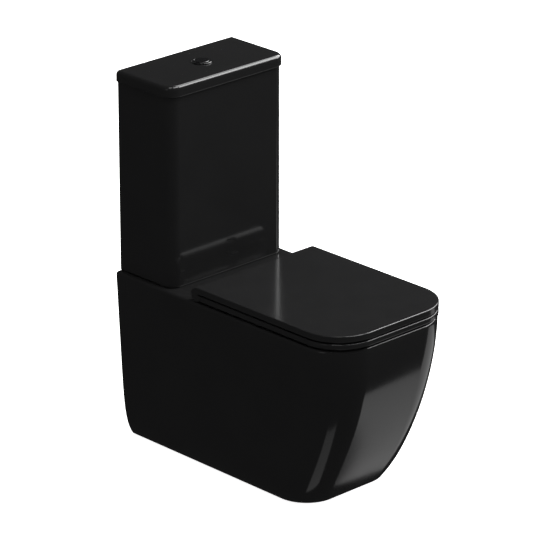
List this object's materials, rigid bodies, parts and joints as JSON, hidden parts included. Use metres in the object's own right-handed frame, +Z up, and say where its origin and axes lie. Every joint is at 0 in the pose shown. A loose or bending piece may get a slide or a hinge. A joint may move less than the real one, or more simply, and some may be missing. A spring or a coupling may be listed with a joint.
{
  "type": "close coupled toilet",
  "caption": "Black close coupled toilet: shrouded back-to-wall pan, rectangular cistern with lift-off lid and dual flush button, slim wrap-round soft-close seat.",
  "frame": {"origin": "floor level, centre of the overall box; the wall plane is at y = +0.335 m", "axes": "+Z up, -Y to the front of the pan, +X to the right in a front view"},
  "size_m": [0.3524, 0.67, 0.844],
  "materials": {
    "glaze": "gloss",
    "seat_plastic": "gloss",
    "button_plastic": "polished",
    "white_plastic": "satin",
    "grey_plastic": "satin",
    "black_plastic": "satin",
    "rubber": "matte",
    "steel": "satin",
    "brass": "satin"
  },
  "bodies": {
    "base": {"pan": "glaze", "cistern": "glaze", "flush_valve_base": "white_plastic", "flush_valve_seal": "rubber", "flush_valve_backnut": "white_plastic", "flush_valve_tower": "grey_plastic", "flush_valve_cap": "white_plastic", "doughnut_gasket": "rubber", "fill_valve_body": "white_plastic", "fill_valve_head": "white_plastic", "fill_valve_seal": "rubber", "fill_valve_backnut": "white_plastic", "coupling_washer_left": "rubber", "coupling_bolt_left": "brass", "coupling_wing_nut_left": "brass", "hinge_post_left": "black_plastic", "hinge_base_left": "black_plastic", "hinge_washer_left": "rubber", "hinge_nut_left": "white_plastic", "hinge_pin_left": "steel", "floor_bracket_left": "steel", "bracket_screw_left": "steel", "coupling_washer_right": "rubber", "coupling_bolt_right": "brass", "coupling_wing_nut_right": "brass", "hinge_post_right": "black_plastic", "hinge_base_right": "black_plastic", "hinge_washer_right": "rubber", "hinge_nut_right": "white_plastic", "hinge_pin_right": "steel", "floor_bracket_right": "steel", "bracket_screw_right": "steel"},
    "seat": {"seat_ring": "seat_plastic", "seat_damper": "black_plastic", "seat_buffer_rear_left": "rubber", "seat_buffer_rear_right": "rubber", "seat_buffer_front_left": "rubber", "seat_buffer_front_right": "rubber"},
    "lid": {"seat_lid": "seat_plastic", "lid_damper": "black_plastic", "lid_buffer_rear_left": "rubber", "lid_buffer_rear_right": "rubber", "lid_buffer_front_left": "rubber", "lid_buffer_front_right": "rubber"},
    "cistern_cover": {"cistern_lid": "glaze", "button_housing": "button_plastic", "button_nut": "white_plastic"},
    "full_flush": {"full_flush_button": "button_plastic", "full_flush_rod": "white_plastic"},
    "half_flush": {"half_flush_button": "button_plastic", "half_flush_rod": "grey_plastic"},
    "piston": {"flush_piston": "grey_plastic", "flush_piston_seal": "rubber"},
    "float": {"float_cup": "grey_plastic"},
    "lever": {"float_lever": "black_plastic"}
  },
  "joints": [
    {"name": "seat_hinge", "type": "hinge", "parent": "base", "child": "seat", "pos_m": [0, 0.088, 0.408], "axis": [-1, 0, 0], "range_deg": [0, 96]},
    {"name": "lid_hinge", "type": "hinge", "parent": "seat", "child": "lid", "pos_m": [0, 0.088, 0.408], "axis": [1, 0, 0], "range_deg": [-96, 0]},
    {"name": "cistern_lid_lift", "type": "slide", "parent": "base", "child": "cistern_cover", "axis": [0, 0, 1], "range_m": [0, 0.08]},
    {"name": "full_flush_press", "type": "slide", "parent": "cistern_cover", "child": "full_flush", "axis": [0, 0, -1], "range_m": [0, 0.005], "stiffness_N_per_m": 1200, "springref_m": -0.002},
    {"name": "half_flush_press", "type": "slide", "parent": "cistern_cover", "child": "half_flush", "axis": [0, 0, -1], "range_m": [0, 0.005], "stiffness_N_per_m": 1200, "springref_m": -0.002},
    {"name": "piston_lift", "type": "slide", "parent": "base", "child": "piston", "axis": [0, 0, 1], "range_m": [0, 0.02]},
    {"name": "float_rise", "type": "slide", "parent": "base", "child": "float", "axis": [0, 0, 1], "range_m": [0, 0.015]},
    {"name": "float_lever_turn", "type": "hinge", "parent": "base", "child": "lever", "pos_m": [0.126, 0.253, 0.675], "axis": [0, 1, 0], "range_deg": [0, 26]}
  ],
  "couplings": [
    {"joint": "piston_lift", "follows": "full_flush_press", "ratio": 4},
    {"joint": "float_lever_turn", "follows": "float_rise", "rad_per_m": 30}
  ]
}
